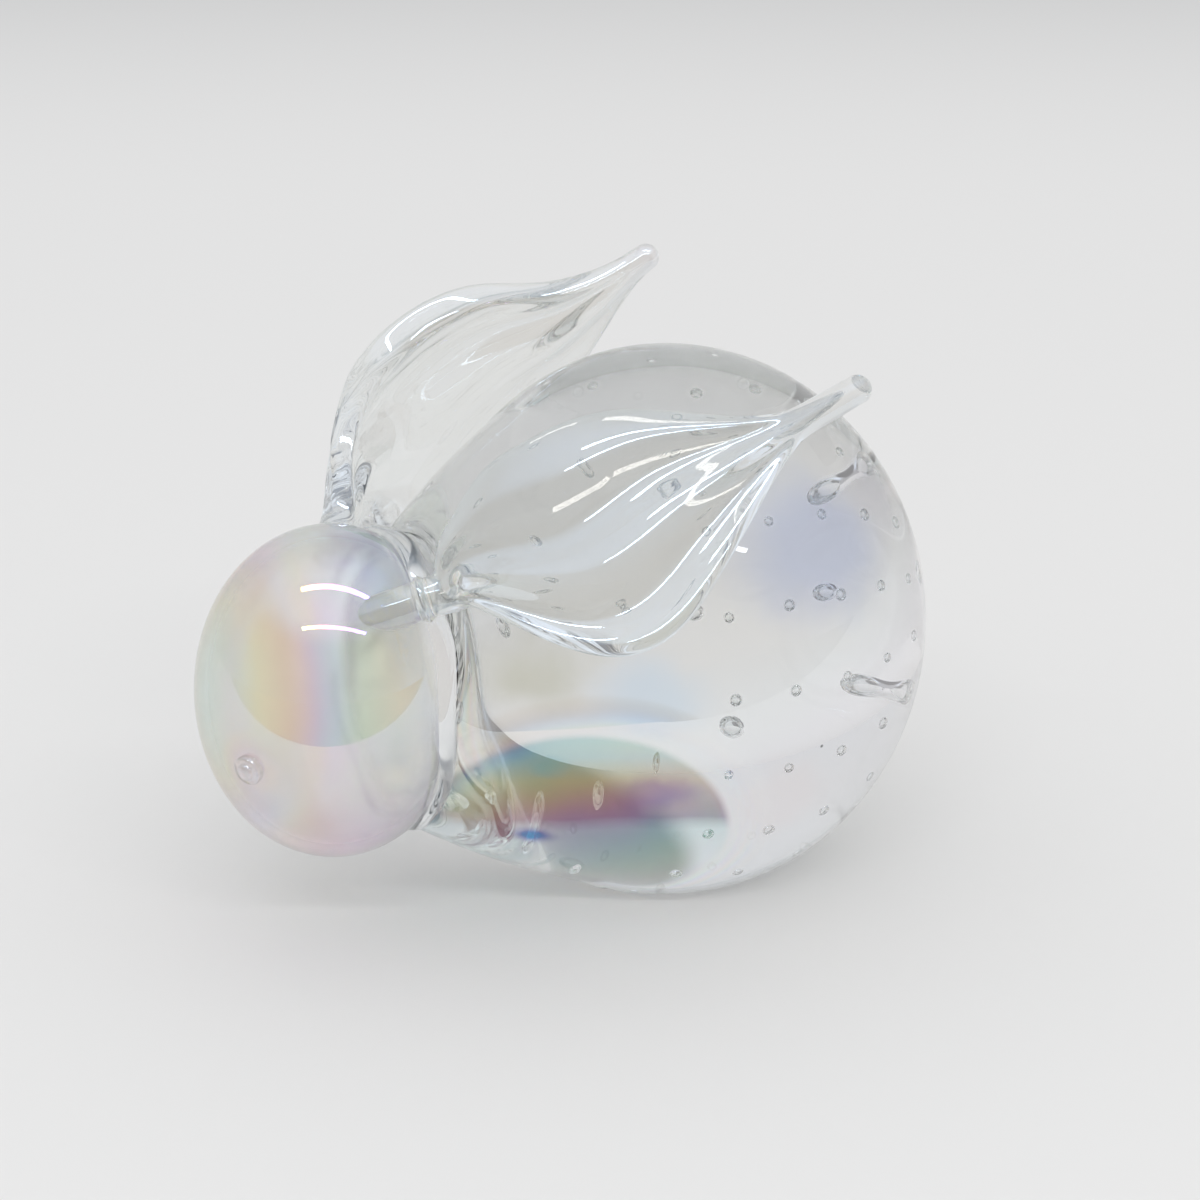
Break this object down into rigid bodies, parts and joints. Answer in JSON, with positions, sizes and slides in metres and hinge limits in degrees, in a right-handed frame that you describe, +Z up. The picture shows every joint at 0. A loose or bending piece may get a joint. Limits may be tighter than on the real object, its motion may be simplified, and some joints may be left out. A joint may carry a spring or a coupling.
{
  "type": "glass rabbit figurine",
  "caption": "Free-standing art-glass rabbit with a solid ball body cased over trapped bubbles, a blown egg head sealed by a pip nose, leaf ears swept back and a ground flat base.",
  "frame": {"origin": "centre of the ground flat under the ball body, on the surface it stands on", "axes": "+Z up, -Y the way the face looks, +X the rabbit's left"},
  "size_m": [0.0806, 0.105, 0.0791],
  "materials": {
    "clear_glass": "fire-polished clear glass",
    "pearl_glass": "fire-polished clear glass with a pearly iridescent film"
  },
  "bodies": {
    "root": {"body_core": "clear_glass", "body_casing": "pearl_glass", "head": "pearl_glass", "nose": "pearl_glass", "neck_collar": "pearl_glass", "ear_foot_left": "clear_glass", "ear_left": "clear_glass", "ear_foot_right": "clear_glass", "ear_right": "clear_glass"}
  },
  "joints": []
}
